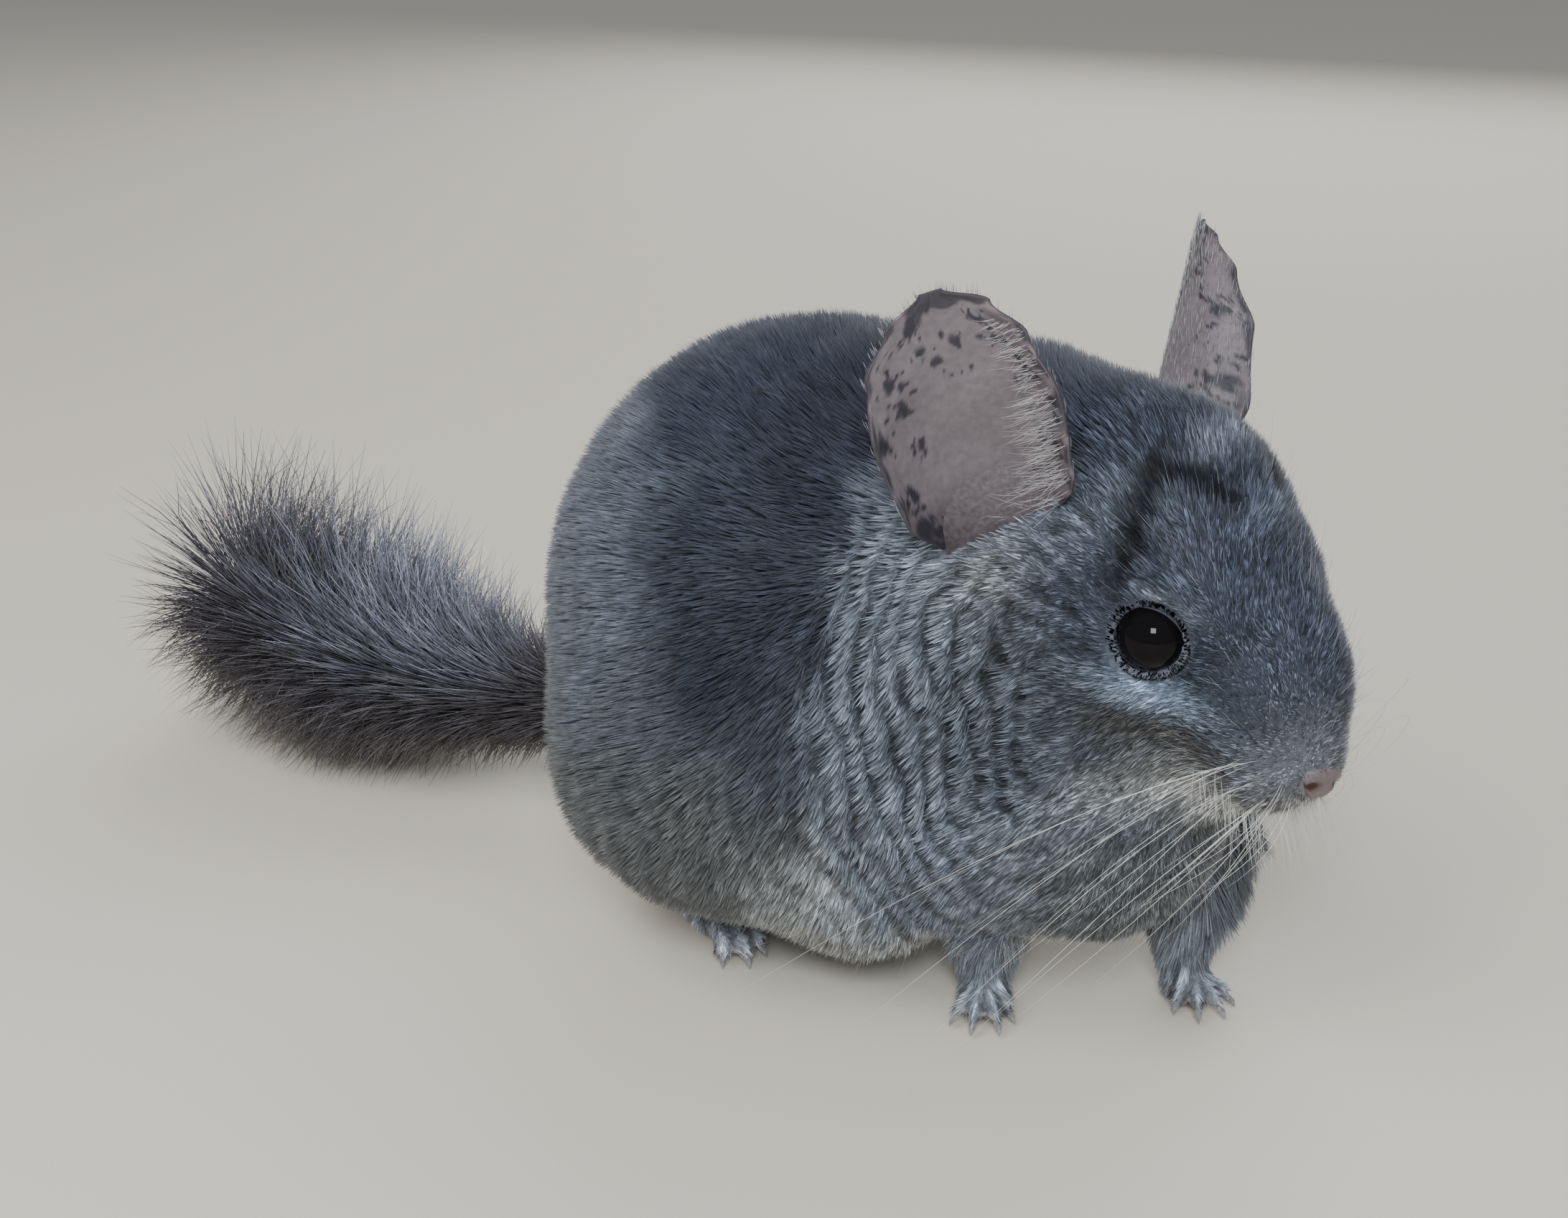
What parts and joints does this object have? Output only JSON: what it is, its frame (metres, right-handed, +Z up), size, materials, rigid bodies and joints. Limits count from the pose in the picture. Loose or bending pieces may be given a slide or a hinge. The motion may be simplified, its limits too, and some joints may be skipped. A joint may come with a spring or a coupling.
{
  "type": "chinchilla",
  "caption": "Life-size grey chinchilla, a still model: round plush body, head lifted, large thin ears, small paws and a long bushy tail held out behind.",
  "frame": {"origin": "middle of the footprint of the whole animal, on the floor it stands on", "axes": "+X forward along the body, from the tail to the chest; +Y to the animal's left; +Z up"},
  "size_m": [0.347, 0.123, 0.1546],
  "materials": {
    "body_fur": "dense plush blue-grey fur, darker on the back, paler low on the flank and near white on the chest",
    "face_fur": "short dense grey fur with a pale patch under the eye and a whitish lip",
    "leg_fur": "short pale blue-grey fur",
    "tail_fur": "long coarse dark grey hair with paler tips",
    "ear_skin": "thin matt pink-grey skin with near-black spots",
    "eye": "wet, glossy, near black",
    "claw": "small dark horn claws, satin"
  },
  "bodies": {
    "root": {"claw_fore_left_1": "claw", "claw_fore_left_2": "claw", "claw_fore_left_3": "claw", "claw_fore_left_4": "claw", "claw_fore_right_1": "claw", "claw_fore_right_2": "claw", "claw_fore_right_3": "claw", "claw_fore_right_4": "claw", "claw_hind_left_1": "claw", "claw_hind_left_2": "claw", "claw_hind_left_3": "claw", "claw_hind_right_1": "claw", "claw_hind_right_2": "claw", "claw_hind_right_3": "claw", "ear_left": "ear_skin", "ear_right": "ear_skin", "eye_left": "eye", "eye_right": "eye", "foreleg_left": "leg_fur", "foreleg_right": "leg_fur", "head": "face_fur", "hindleg_left": "leg_fur", "hindleg_right": "leg_fur", "neck": "body_fur", "tail_base": "tail_fur", "tail_mid": "tail_fur", "tail_tip": "tail_fur", "torso": "body_fur"}
  },
  "joints": []
}
